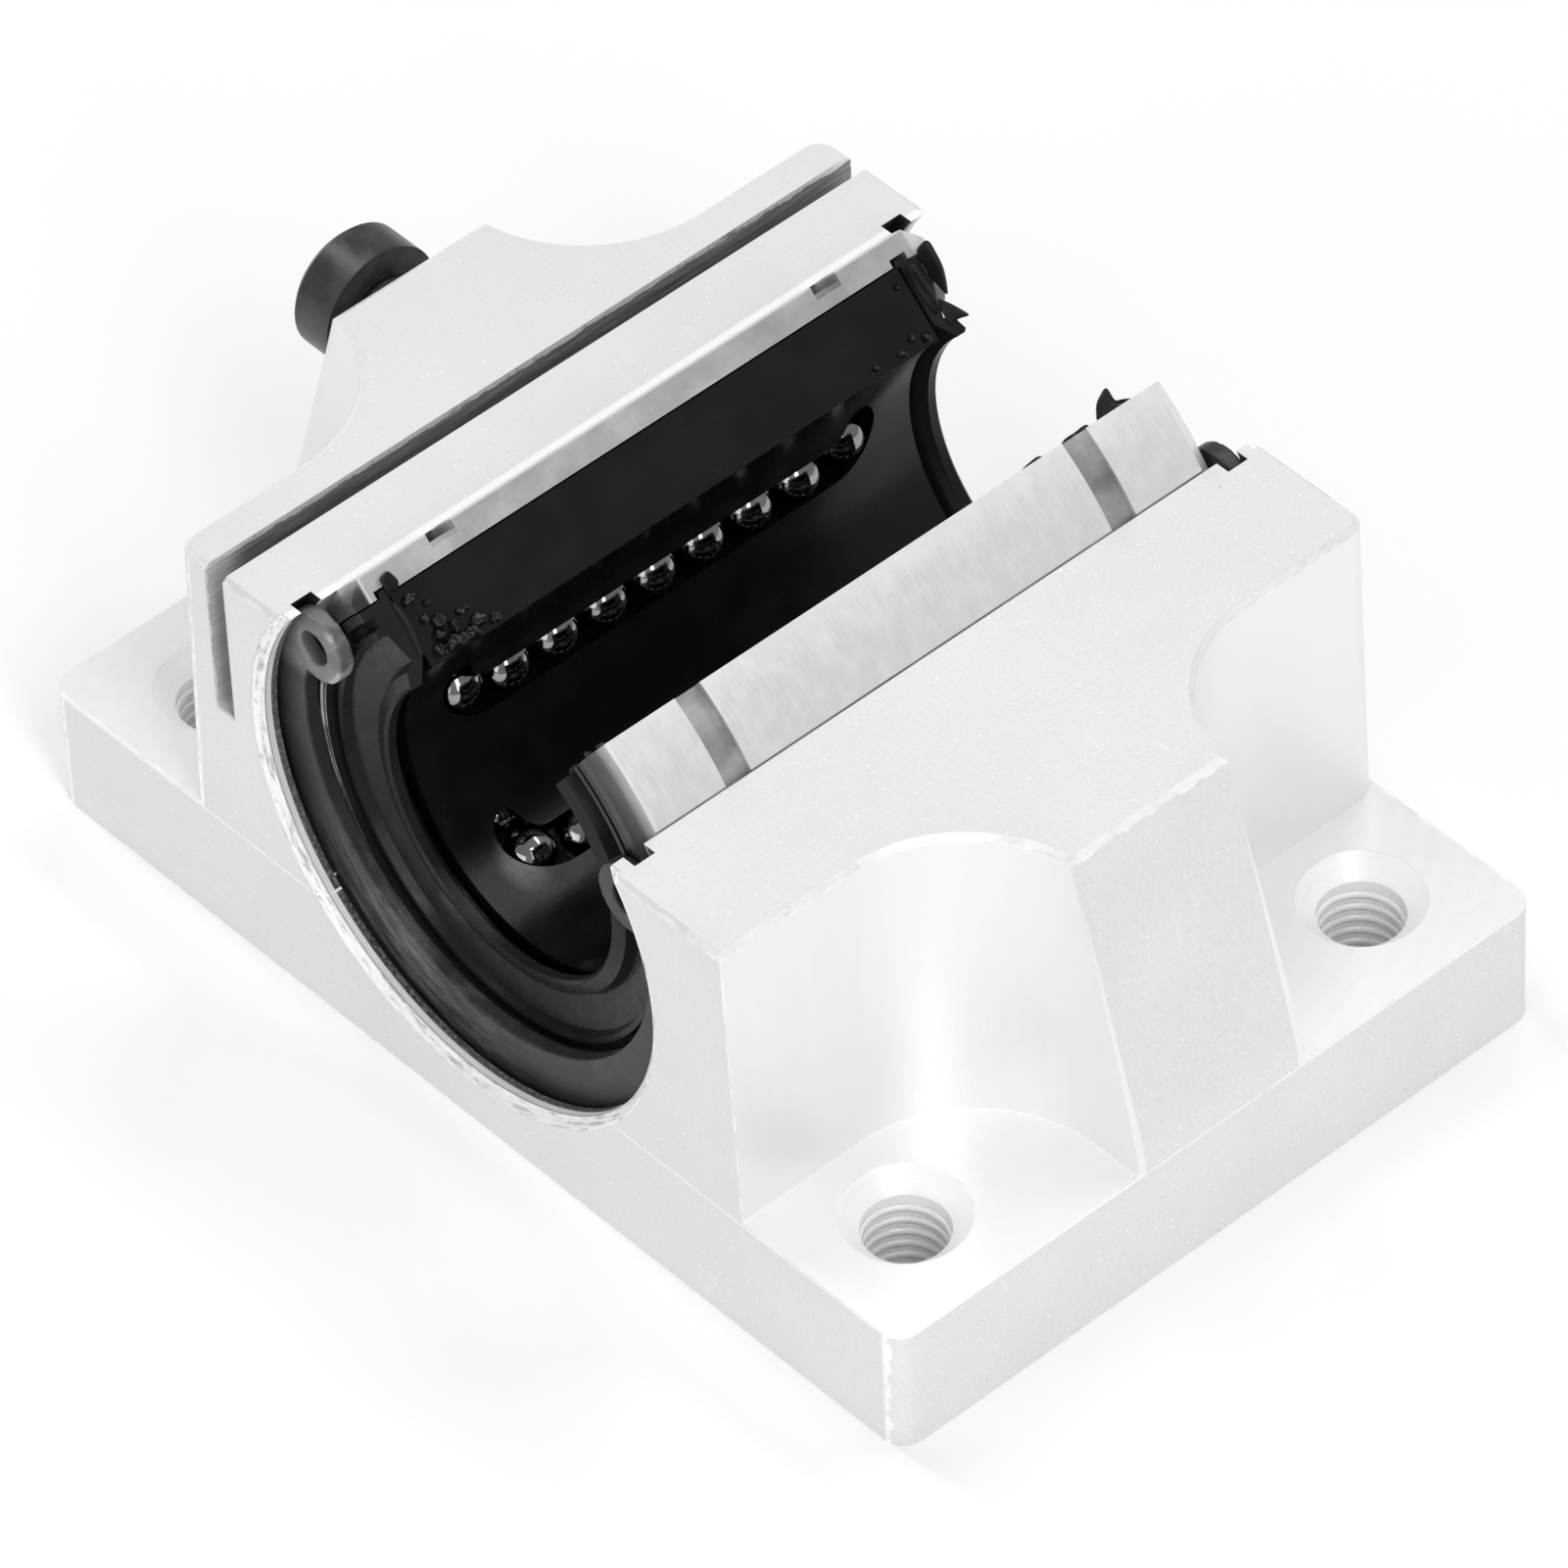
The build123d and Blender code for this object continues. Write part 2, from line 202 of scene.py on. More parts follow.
def distance(tree, a, b):
    """The root of the sum of two squares."""
    squares = figure(tree, "ADD", figure(tree, "MULTIPLY", a, a), figure(tree, "MULTIPLY", b, b))
    return figure(tree, "SQRT", squares)


def shades(tree, value, stops):
    """A colour that runs through the stops, each a position and a grey or a colour."""
    node = tree.nodes.new("ShaderNodeValToRGB")
    ramp = node.color_ramp
    while len(ramp.elements) < len(stops):
        ramp.elements.new(0.5)
    for element, (position, colour) in zip(ramp.elements, stops):
        element.position = position
        if isinstance(colour, (int, float)):
            colour = (colour, colour, colour)
        element.color = (*colour, 1.0)
    tree.links.new(value, node.inputs["Fac"])
    return node.outputs["Color"]


def multiplied(tree, one, other):
    """Two colours multiplied together."""
    node = tree.nodes.new("ShaderNodeMix")
    node.data_type = "RGBA"
    node.blend_type = "MULTIPLY"
    node.inputs["Factor"].default_value = 1.0
    tree.links.new(one, node.inputs[6])
    tree.links.new(other, node.inputs[7])
    return node.outputs[2]


def layered(tree, amount, under, over):
    """The over colour laid on the under one by an amount from 0 to 1."""
    node = tree.nodes.new("ShaderNodeMix")
    node.data_type = "RGBA"
    tree.links.new(amount, node.inputs["Factor"])
    tree.links.new(under, node.inputs[6])
    tree.links.new(over, node.inputs[7])
    return node.outputs[2]


def relief(tree, height, depth_mm, strength=1.0, below=None):
    """A bump of that depth from a height between 0 and 1."""
    node = tree.nodes.new("ShaderNodeBump")
    node.inputs["Distance"].default_value = depth_mm * MM
    node.inputs["Strength"].default_value = strength
    tree.links.new(height, node.inputs["Height"])
    if below is not None:
        tree.links.new(below, node.inputs["Normal"])
    return node.outputs["Normal"]


def specks(tree, spot, scale, size, share):
    """Scattered round specks: so many to a millimetre, a size in cells, and the share that shows."""
    node = tree.nodes.new("ShaderNodeTexVoronoi")
    node.inputs["Scale"].default_value = scale
    tree.links.new(spot, node.inputs["Vector"])
    small = reach(tree, node.outputs["Distance"], size * 0.6, size, 1.0, 0.0)
    parts = tree.nodes.new("ShaderNodeSeparateColor")
    tree.links.new(node.outputs["Color"], parts.inputs["Color"])
    chosen = reach(tree, parts.outputs["Red"], share, share + 0.01, 1.0, 0.0)
    return product(tree, small, chosen)


def round_axis(tree, x, y, off_axis, radius):
    """A place unrolled round the bore: how far out, how far round and how far along."""
    angle = figure(tree, "ARCTAN2", x, off_axis)
    node = tree.nodes.new("ShaderNodeCombineXYZ")
    tree.links.new(radius, node.inputs["X"])
    tree.links.new(figure(tree, "MULTIPLY", angle, BORE_RADIUS), node.inputs["Y"])
    tree.links.new(y, node.inputs["Z"])
    return node.outputs["Vector"]


def from_bore(tree, spot):
    """The place's X, Y and Z, its height above the bore's axis, and its distance from that axis."""
    x, y, z = axes(tree, spot)
    off_axis = figure(tree, "SUBTRACT", z, BORE_HEIGHT)
    return x, y, z, off_axis, distance(tree, x, off_axis)


def from_middle(tree, spot):
    """How far the place is from the block's middle, to either side and to either end."""
    x, y, _ = axes(tree, spot)
    return figure(tree, "ABSOLUTE", x), figure(tree, "ABSOLUTE", y)


def close_to(tree, spot, place, sizes):
    """1 at a place, fading to 0 over those lengths."""
    node = tree.nodes.new("ShaderNodeMapping")
    node.inputs["Location"].default_value = [-p / s for p, s in zip(place, sizes)]
    node.inputs["Scale"].default_value = [1 / s for s in sizes]
    tree.links.new(spot, node.inputs["Vector"])
    length = tree.nodes.new("ShaderNodeVectorMath")
    length.operation = "LENGTH"
    tree.links.new(node.outputs["Vector"], length.inputs[0])
    return reach(tree, length.outputs["Value"], 0.1, 1.0, 1.0, 0.0)


def join(tree, output, shader, socket):
    """Links an output to one of the shader's sockets."""
    tree.links.new(output, shader.inputs[socket])


def milled_pockets(tree, spot):
    """Where the four pockets were milled, the marks of the mill's side and end, and their colour, with
    painted light on the floor of the front right pocket.
    """
    x, y, z = axes(tree, spot)
    away_x, away_y = from_middle(tree, spot)
    in_x = reach(tree, away_x, POCKET_WALL_X - 0.12, POCKET_WALL_X)
    in_y = reach(tree, away_y, POCKET_WALL_Y - 0.05, POCKET_WALL_Y + 0.05)
    over_flange = reach(tree, z, FLANGE_TOP - 0.12, FLANGE_TOP - 0.04)
    under_top = reach(tree, z, BLOCK_TOP - 0.35, BLOCK_TOP - 0.28, 1.0, 0.0)
    inside_ends = reach(tree, away_y, HALF_LENGTH - 0.12, HALF_LENGTH - 0.03, 1.0, 0.0)
    milled = product(tree, in_x, in_y, over_flange, under_top, inside_ends)

    side_marks = cloud(tree, stretched(tree, spot, (0.7, 0.7, 30.0)), 1.0, 2.0, 0.6)
    feed = 1.1
    rings = figure(tree, "MULTIPLY", distance(tree, away_x, away_y), math.tau / feed)
    sweep = figure(tree, "ADD", figure(tree, "SINE", rings), cloud(tree, spot, 1.6, 2.0, 0.6))
    end_marks = reach(tree, sweep, -1.0, 2.0)
    on_floor = reach(tree, z, FLANGE_TOP + 0.03, FLANGE_TOP + 0.12, 1.0, 0.0)
    on_walls = figure(tree, "SUBTRACT", 1.0, on_floor)
    marks = figure(tree, "ADD", product(tree, end_marks, on_floor, 0.5), product(tree, side_marks, on_walls))

    wall_shade = shades(tree, marks, [(0.25, 0.862), (0.5, 0.872), (0.75, 0.882)])
    # Painted light: the floor of the front right pocket is painted lighter than the walls and the other
    # floors.
    floor_painted_light = shades(tree, marks, [(0.25, 0.98), (0.75, 0.995)])
    front_floor_painted_light = product(tree, on_floor, reach(tree, y, -9.0, 9.0, 1.0, 0.0), reach(tree, x, -5.0, 5.0))
    return milled, marks, side_marks, layered(tree, front_floor_painted_light, wall_shade, floor_painted_light)


def bored_metal(tree, spot, grain, cast):
    """The bare bore with its lines, the mouth that the boring tool tore, painted shade in the ring grooves
    and in a line in front of each ring, and every layer they need.
    """
    x, y, z, off_axis, radius = from_bore(tree, spot)
    _, away_y = from_middle(tree, spot)
    below_top = reach(tree, z, BLOCK_TOP - 0.06, BLOCK_TOP - 0.02, 1.0, 0.0)
    bored = product(
        tree,
        reach(tree, radius, BORE_RADIUS + 0.75, BORE_RADIUS + 0.95, 1.0, 0.0),
        below_top,
        reach(tree, away_y, HALF_LENGTH - 0.3, HALF_LENGTH - 0.2, 1.0, 0.0),
    )
    # Painted shade: the ring grooves in the bore are painted near black.
    groove_painted_shade = product(
        tree,
        within(tree, radius, BORE_RADIUS + 0.08, RING_GROOVE_RADIUS, 0.03),
        within(tree, away_y, *RING_GROOVE, 0.01),
        below_top,
    )
    # Painted shade: a dark line painted on the bore wall just in front of each ring.
    painted_shade_line = product(
        tree,
        within(tree, radius, BORE_RADIUS - 0.1, BORE_RADIUS + 0.2, 0.05),
        within(tree, away_y, 19.75, 20.12, 0.1),
        below_top,
        reach(tree, grain, 0.2, 0.6, 0.7, 1.0),
    )
    left_lip = product(
        tree,
        reach(tree, radius, 14.35, MOUTH_RADIUS, 1.0, 0.0),
        reach(tree, z, BLOCK_TOP - 0.05, BLOCK_TOP - 0.01),
        reach(tree, x, -9.0, -8.0, 1.0, 0.0),
    )
    mouth = product(
        tree,
        within(tree, radius, BORE_RADIUS, MOUTH_RADIUS, 0.06),
        reach(tree, away_y, 20.45, 20.6),
    )
    around = round_axis(tree, x, y, off_axis, radius)
    lines = cloud(tree, stretched(tree, around, (1.5, 6.0, 0.35)), 1.0, 3.0, 0.6)
    torn = cloud(tree, stretched(tree, around, (0.16, 1.5, 0.5)), 1.0, 3.0, 0.7)
    layers = [
        (bored, shades(tree, lines, [(0.38, 0.8), (0.5, 0.88), (0.62, 0.93)])),
        (groove_painted_shade, shades(tree, grain, [(0.3, 0.015), (0.7, 0.035)])),
        (painted_shade_line, shades(tree, cast, [(0.35, 0.03), (0.65, 0.07)])),
        (left_lip, shades(tree, grain, [(0.3, 0.93), (0.7, 0.99)])),
        (mouth, shades(tree, torn, [(0.36, 0.5), (0.47, 0.86), (0.6, 0.98)])),
    ]
    return bored, lines, mouth, torn, layers


def sawn_slit(tree, spot):
    """The slit's walls, the lines of the saw on them, and their colour: painted shade, darker far inside the
    slit and lighter at the front.
    """
    x, y, z = axes(tree, spot)
    sawn = product(
        tree,
        within(tree, x, SLIT_SIDES[0] - 0.02, SLIT_SIDES[1] + 0.02, 0.03),
        reach(tree, z, SLIT_LOW - 0.1, SLIT_LOW + 0.05),
        reach(tree, z, BLOCK_TOP - 0.1, BLOCK_TOP - 0.02, 1.0, 0.0),
    )
    lines = cloud(tree, stretched(tree, spot, (3.0, 3.5, 0.16)), 1.0, 3.0, 0.65)
    # Painted shade: the slit's walls are painted dark grey, lighter towards the front.
    deep = shades(tree, lines, [(0.3, 0.18), (0.5, 0.29), (0.72, 0.48)])
    at_front = shades(tree, lines, [(0.3, 0.5), (0.7, 0.75)])
    return sawn, lines, layered(tree, reach(tree, y, -19.9, -18.2, 1.0, 0.0), deep, at_front)


def drilled_holes(tree, spot):
    """The four holes with their countersinks, and their shade."""
    _, _, z = axes(tree, spot)
    away_x, away_y = from_middle(tree, spot)
    from_hole = distance(
        tree, figure(tree, "SUBTRACT", away_x, HOLE_X), figure(tree, "SUBTRACT", away_y, HOLE_Y)
    )
    drilled = product(
        tree,
        reach(tree, from_hole, COUNTERSINK_RADIUS - 0.02, COUNTERSINK_RADIUS + 0.04, 1.0, 0.0),
        reach(tree, z, FLANGE_TOP - 0.01, FLANGE_TOP - 0.05),
    )
    lines = cloud(tree, stretched(tree, spot, (5.0, 5.0, 0.08)), 1.0, 2.0, 0.5)
    return drilled, shades(tree, lines, [(0.3, 0.93), (0.7, 0.98)])


def burnished_edges_and_painted_highlight(tree, spot, drilled):
    """Edges burnished bright and in places rubbed away, that brightness partly a painted highlight, and the
    few dark nicks in them.
    """
    _, _, z = axes(tree, spot)
    away_x, away_y = from_middle(tree, spot)
    wander = figure(tree, "MULTIPLY", reach(tree, cloud(tree, spot, 0.9, 2.0, 0.6), 0.3, 0.7), 0.16)
    top_edge = product(
        tree,
        reach(tree, figure(tree, "ADD", z, wander), BLOCK_TOP - 0.3, BLOCK_TOP - 0.2),
        reach(tree, z, BLOCK_TOP - 0.03, BLOCK_TOP - 0.005, 1.0, 0.0),
        reach(tree, away_x, 17.0, 17.3),
    )
    end_edge = product(
        tree,
        reach(tree, figure(tree, "ADD", away_y, wander), HALF_LENGTH - 0.06, HALF_LENGTH + 0.04),
        reach(tree, away_y, HALF_LENGTH - 0.02, HALF_LENGTH - 0.001, 1.0, 0.0),
    )
    ledge_edge = product(
        tree,
        within(tree, z, FLANGE_TOP - 0.14, FLANGE_TOP - 0.07, 0.03),
        figure(tree, "SUBTRACT", 1.0, drilled),
    )
    edges = either(tree, top_edge, end_edge, ledge_edge)
    worn = cloud(tree, spot, 0.55, 4.0, 0.7)
    # Partly painted highlight: the edges are painted bright, as burnished metal and as the highlight along
    # them.
    bright = product(tree, edges, reach(tree, worn, 0.26, 0.46))
    nicks = product(tree, edges, reach(tree, cloud(tree, spot, 1.3, 3.0, 0.75), 0.7, 0.75))
    return bright, nicks, worn


def aluminium_finish():
    """Blasted and anodised aluminium, brighter where it was milled or turned afterwards; painted light lies
    on the front right pocket floor, painted shade in the sawn slit, the ring grooves and a line in front of
    each ring, and painted highlights along the burnished edges.
    """
    material, tree, shader, spot = new_finish("blasted_aluminium", 0.4, 0.5)
    grain = cloud(tree, spot, 5.0, 3.0, 0.7)
    cast = cloud(tree, spot, 0.1, 3.0, 0.55)
    milled, mill_marks, side_marks, mill_tone_and_painted_light = milled_pockets(tree, spot)
    bored, bore_lines, mouth, torn, bore_layers = bored_metal(tree, spot, grain, cast)
    sawn, saw_lines, saw_painted_shade = sawn_slit(tree, spot)
    drilled, drill_shade = drilled_holes(tree, spot)
    bright_edges_and_painted_highlight, nicks, worn = burnished_edges_and_painted_highlight(tree, spot, drilled)

    # Faint rubs, a few grey flecks, and many glints of the blasted surface painted in as bright specks in
    # the rubbed grey (painted highlights)
    not_milled = figure(tree, "SUBTRACT", 1.0, milled)
    drawn_out = cloud(tree, stretched(tree, spot, (5.0, 0.5, 5.0)), 1.0, 3.0, 0.7)
    rubs = figure(tree, "MULTIPLY", reach(tree, drawn_out, 0.62, 0.74), 0.35)
    flecks = product(tree, specks(tree, spot, 0.55, 0.05, 0.16), not_milled)
    glints = specks(tree, spot, 2.4, 0.17, 0.4)
    rubbed = shades(tree, worn, [(0.4, 0.88), (0.6, 0.95)])

    blasted = shades(tree, grain, [(0.3, 0.755), (0.5, 0.785), (0.7, 0.81), (0.8, 0.9)])
    colour = multiplied(tree, blasted, shades(tree, cast, [(0.35, 0.962), (0.65, 1.0)]))
    for amount, shade in (
        (rubs, rubbed),
        (flecks, shades(tree, worn, [(0.4, 0.5), (0.6, 0.62)])),
        (glints, rubbed),
        (milled, mill_tone_and_painted_light),
        (drilled, drill_shade),
        *bore_layers,
        (sawn, saw_painted_shade),
        (bright_edges_and_painted_highlight, shades(tree, worn, [(0.4, 0.92), (0.6, 0.99)])),
        (nicks, shades(tree, worn, [(0.4, 0.35), (0.6, 0.55)])),
    ):
        colour = layered(tree, amount, colour, shade)
    join(tree, colour, shader, "Base Color")

    scattered = figure(tree, "MULTIPLY", either(tree, drilled, bored), 0.35)
    join(tree, figure(tree, "SUBTRACT", 0.4, scattered), shader, "Metallic")
    machined = either(tree, milled, drilled, bored, bright_edges_and_painted_highlight)
    not_machined = figure(tree, "SUBTRACT", 1.0, machined)
    dulled = product(tree, reach(tree, grain, 0.3, 0.75, 0.58, 0.42), not_machined)
    polished = product(tree, reach(tree, side_marks, 0.3, 0.7, 0.38, 0.43), machined)
    join(tree, figure(tree, "ADD", dulled, polished), shader, "Roughness")

    lines = figure(tree, "ADD", product(tree, mill_marks, milled), product(tree, bore_lines, bored))
    lines = figure(tree, "ADD", lines, product(tree, saw_lines, sawn))
    blasted_relief = relief(tree, grain, 0.018, 0.5)
    scored = relief(tree, lines, 0.012, 0.5, blasted_relief)
    ragged = product(tree, torn, either(tree, mouth, nicks))
    join(tree, relief(tree, ragged, 0.12, 0.8, scored), shader, "Normal")
    return material


def thread_finish():
    """Freshly cut thread in the aluminium, bright on the crests."""
    material, tree, shader, spot = new_finish("cut_thread", 0.1, 0.4)
    torn = cloud(tree, stretched(tree, spot, (2.0, 2.0, 0.15)), 1.0, 3.0, 0.6)
    join(tree, shades(tree, torn, [(0.3, 0.93), (0.7, 0.98)]), shader, "Base Color")
    join(tree, reach(tree, torn, 0.3, 0.7, 0.28, 0.42), shader, "Roughness")
    join(tree, relief(tree, torn, 0.02, 0.5), shader, "Normal")
    return material


def sleeve_finish():
    """Ground bearing steel, its ring grooves darker, its front end chamfer darkened as painted shade, a
    painted highlight along the edge of its front face, a line of painted shade where it leaves the block's
    top, and a film of oil.
    """
    material, tree, shader, spot = new_finish("ground_bearing_steel", 0.5, 0.4)
    _, y, z, _, radius = from_bore(tree, spot)
    away_y = figure(tree, "ABSOLUTE", y)
    mottle = cloud(tree, spot, 0.9, 5.0, 0.62)
    stain = cloud(tree, stretched(tree, spot, (2.5, 4.0, 2.5)), 1.0, 4.0, 0.6)
    scratches = cloud(tree, stretched(tree, spot, (1.4, 0.1, 1.4)), 1.0, 3.0, 0.55)
    body = shades(tree, mottle, [(0.3, 0.8), (0.55, 0.82), (0.75, 0.845)])
    groove_shade = shades(tree, stain, [(0.35, 0.24), (0.65, 0.5)])
    worn_face = shades(tree, stain, [(0.3, 0.42), (0.5, 0.52), (0.7, 0.66)])
    outer = reach(tree, radius, SLEEVE_RADIUS - 0.1, SLEEVE_RADIUS - 0.04)
    grooves = product(
        tree,
        within(tree, away_y, *SLEEVE_GROOVE, 0.02),
        within(tree, radius, SLEEVE_RADIUS - 0.7, SLEEVE_RADIUS - 0.15, 0.08),
    )
    front_end = reach(tree, y, -SLEEVE_FACE - 0.2, -SLEEVE_FACE, 1.0, 0.0)
    rear_end = reach(tree, y, SLEEVE_FACE, SLEEVE_FACE + 0.2)
    slope = reach(tree, radius, SLEEVE_RADIUS - 1.0, SLEEVE_RADIUS - 0.05)
    # Painted shade: the front end's chamfer is painted dark, darkest at its inner edge; the rear end keeps a
    # plain light tone.
    front_end_painted_shade = shades(tree, slope, [(0.0, 0.04), (0.6, 0.09), (1.0, 0.34)])
    rear_end_plain = shades(tree, stain, [(0.3, 0.78), (0.7, 0.84)])
    step = within(tree, y, -SLEEVE_FACE - 0.03, -SLEEVE_FACE + 0.05, 0.04)
    colour = layered(tree, outer, worn_face, body)
    colour = layered(tree, grooves, colour, groove_shade)
    colour = layered(tree, front_end, colour, front_end_painted_shade)
    colour = layered(tree, rear_end, colour, rear_end_plain)
    # Painted highlight: a bright line painted along the edge of the front end face.
    step_painted_highlight = shades(tree, stain, [(0.3, 0.86), (0.7, 0.95)])
    colour = layered(tree, figure(tree, "MULTIPLY", step, 0.7), colour, step_painted_highlight)
    # Painted shade: a dark line painted on the sleeve's outside where it leaves the top of the block.
    seam = product(tree, outer, within(tree, z, BLOCK_TOP - 0.2, BLOCK_TOP + 0.04, 0.06))
    colour = layered(tree, seam, colour, shades(tree, stain, [(0.3, 0.1), (0.7, 0.3)]))
    join(tree, colour, shader, "Base Color")
    oily = reach(tree, mottle, 0.4, 0.62, 0.0, 0.06)
    join(tree, figure(tree, "ADD", reach(tree, scratches, 0.3, 0.7, 0.32, 0.42), oily), shader, "Roughness")
    fine = relief(tree, scratches, 0.008, 0.4)
    join(tree, relief(tree, mottle, 0.01, 0.15, fine), shader, "Normal")
    return material


def resin_finish():
    """Black moulded resin, wet with oil in the channels and smeared along the cut faces, with a grey sheen
    painted near the front turn window as a painted highlight.
    """
    material, tree, shader, spot = new_finish("oiled_black_resin", 0.0, 0.24)
    flow = cloud(tree, spot, 0.35, 4.0, 0.55)
    film = cloud(tree, spot, 1.4, 5.0, 0.65)
    body = shades(tree, flow, [(0.3, 0.004), (0.7, 0.0065)])
    smears = product(tree, reach(tree, film, 0.62, 0.8), reach(tree, flow, 0.55, 0.68))
    smear_grey = shades(tree, film, [(0.55, 0.012), (0.75, 0.03)])
    lint = specks(tree, spot, 0.42, 0.05, 0.09)
    lint_white = shades(tree, film, [(0.3, 0.5), (0.7, 0.8)])
    colour = layered(tree, smears, body, smear_grey)
    # Painted highlight: a grey sheen painted on the resin near the front turn window.
    painted_sheen = product(
        tree,
        close_to(tree, spot, (-3.6, -13.7, 9.5), (2.4, 1.5, 1.4)),
        reach(tree, film, 0.2, 0.5, 0.5, 1.0),
    )
    colour = layered(tree, painted_sheen, colour, shades(tree, film, [(0.35, 0.16), (0.65, 0.26)]))
    colour = layered(tree, lint, colour, lint_white)
    join(tree, colour, shader, "Base Color")
    join(tree, reach(tree, flow, 0.3, 0.7, 0.22, 0.29), shader, "Roughness")
    fine = relief(tree, cloud(tree, spot, 6.0, 2.0, 0.5), 0.008, 0.35)
    join(tree, relief(tree, flow, 0.06, 0.3, fine), shader, "Normal")
    shader.inputs["Specular IOR Level"].default_value = 0.3
    return material


def seal_finish():
    """Smooth black rubber with oil on it."""
    material, tree, shader, spot = new_finish("oiled_black_rubber", 0.0, 0.3)
    bloom = cloud(tree, spot, 0.5, 4.0, 0.6)
    wet = cloud(tree, spot, 1.2, 4.0, 0.6)
    body = shades(tree, bloom, [(0.3, 0.013), (0.7, 0.02)])
    lint = specks(tree, spot, 0.6, 0.06, 0.08)
    glint = close_to(tree, spot, (-3.9, -16.9, 8.8), (2.2, 1.4, 1.3))
    colour = layered(tree, glint, body, shades(tree, wet, [(0.35, 0.06), (0.65, 0.2)]))
    colour = layered(tree, lint, colour, shades(tree, wet, [(0.3, 0.4), (0.7, 0.7)]))
    join(tree, colour, shader, "Base Color")
    join(tree, reach(tree, wet, 0.35, 0.65, 0.24, 0.34), shader, "Roughness")
    fine = relief(tree, cloud(tree, spot, 5.0, 3.0, 0.6), 0.012, 0.45)
    join(tree, relief(tree, wet, 0.03, 0.3, fine), shader, "Normal")
    shader.inputs["Specular IOR Level"].default_value = 0.17
    return material


def bead_finish():
    """The fine ridges of the seal, wet, painted grey in patches as painted highlights, bright in places."""
    material, tree, shader, spot = new_finish("wet_rubber_painted_highlights", 0.0, 0.25)
    highlight_patches = cloud(tree, spot, 0.45, 5.0, 0.7)
    # Painted highlight: the black rubber ridges are painted grey to light grey in patches.
    join(tree, shades(tree, highlight_patches, [(0.35, 0.07), (0.5, 0.22), (0.65, 0.42)]), shader, "Base Color")
    join(tree, reach(tree, highlight_patches, 0.3, 0.7, 0.2, 0.36), shader, "Roughness")
    join(tree, relief(tree, cloud(tree, spot, 4.0, 3.0, 0.6), 0.03, 0.5), shader, "Normal")
    return material


def ring_finish():
    """Phosphated spring steel, dark satin grey, rubbed bare on the inner edge of its ears, that edge partly
    a painted highlight, and with a broad streaky painted highlight on its lower left.
    """
    material, tree, shader, spot = new_finish("phosphated_spring_steel", 0.25, 0.4)
    x, y, z, off_axis, radius = from_bore(tree, spot)
    patch = cloud(tree, spot, 0.7, 5.0, 0.6)
    grit = cloud(tree, spot, 7.0, 2.0, 0.6)
    around = round_axis(tree, x, y, off_axis, radius)
    streak = cloud(tree, stretched(tree, around, (0.3, 3.0, 0.6)), 1.0, 4.0, 0.6)
    body = shades(tree, patch, [(0.3, 0.03), (0.7, 0.05)])
    ear = reach(tree, z, 19.6, 21.2)
    left = reach(tree, x, -8.5, -7.5, 1.0, 0.0)
    handled = shades(tree, patch, [(0.35, 0.14), (0.65, 0.22)])
    ear_x = figure(tree, "ADD", x, EAR_PLACE * math.sin(math.radians(EAR_ANGLE)))
    ear_z = figure(tree, "SUBTRACT", off_axis, EAR_PLACE * math.cos(math.radians(EAR_ANGLE)))
    ear_rim = reach(tree, distance(tree, ear_x, ear_z), EAR_RADIUS - 0.4, EAR_RADIUS - 0.12)
    # Partly painted highlight: the rim of the left ears towards the middle is painted bare steel, for wear
    # and for the highlight on its rounded edge.
    bare = product(tree, reach(tree, patch, 0.46, 0.64), ear, ear_rim, left, reach(tree, ear_x, 0.5, 1.2))
    bare_steel_and_painted_highlight = shades(tree, grit, [(0.3, 0.32), (0.7, 0.52)])
    # Painted highlight: a broad streaky highlight painted in bare steel grey on the ring's lower left.
    low = reach(tree, z, 4.0, 13.0, 1.0, 0.0)
    lower_painted_highlight = product(tree, reach(tree, streak, 0.35, 0.75), low, reach(tree, x, -10.0, 6.0, 1.0, 0.0))
    colour = layered(tree, product(tree, ear, left), body, handled)
    colour = layered(tree, figure(tree, "MULTIPLY", lower_painted_highlight, 0.5), colour, bare_steel_and_painted_highlight)
    join(tree, layered(tree, bare, colour, bare_steel_and_painted_highlight), shader, "Base Color")
    join(tree, reach(tree, grit, 0.3, 0.7, 0.36, 0.46), shader, "Roughness")
    join(tree, relief(tree, grit, 0.012, 0.4), shader, "Normal")
    shader.inputs["Specular IOR Level"].default_value = 0.35
    return material


def screw_finish():
    """Black oxide on turned steel, with the thread showing on the shank."""
    material, tree, shader, spot = new_finish("black_oxide_screw", 0.45, 0.4)
    x, y, z = axes(tree, spot)
    radius = distance(tree, y, figure(tree, "SUBTRACT", z, SCREW_HEIGHT))
    shank = reach(tree, radius, SCREW_SHANK, SCREW_SHANK + 0.1, 1.0, 0.0)
    patch = cloud(tree, spot, 0.6, 5.0, 0.6)
    turned = cloud(tree, stretched(tree, spot, (0.12, 6.0, 6.0)), 1.0, 2.0, 0.5)
    join(tree, shades(tree, patch, [(0.3, 0.034), (0.7, 0.08)]), shader, "Base Color")
    join(tree, reach(tree, patch, 0.3, 0.7, 0.3, 0.46), shader, "Roughness")
    turn = figure(tree, "MULTIPLY", x, math.tau / SCREW_PITCH)
    thread = product(tree, reach(tree, figure(tree, "SINE", turn), -1.0, 1.0), shank)
    fine = relief(tree, turned, 0.01, 0.4)
    join(tree, relief(tree, thread, 0.25, 1.0, fine), shader, "Normal")
    return material


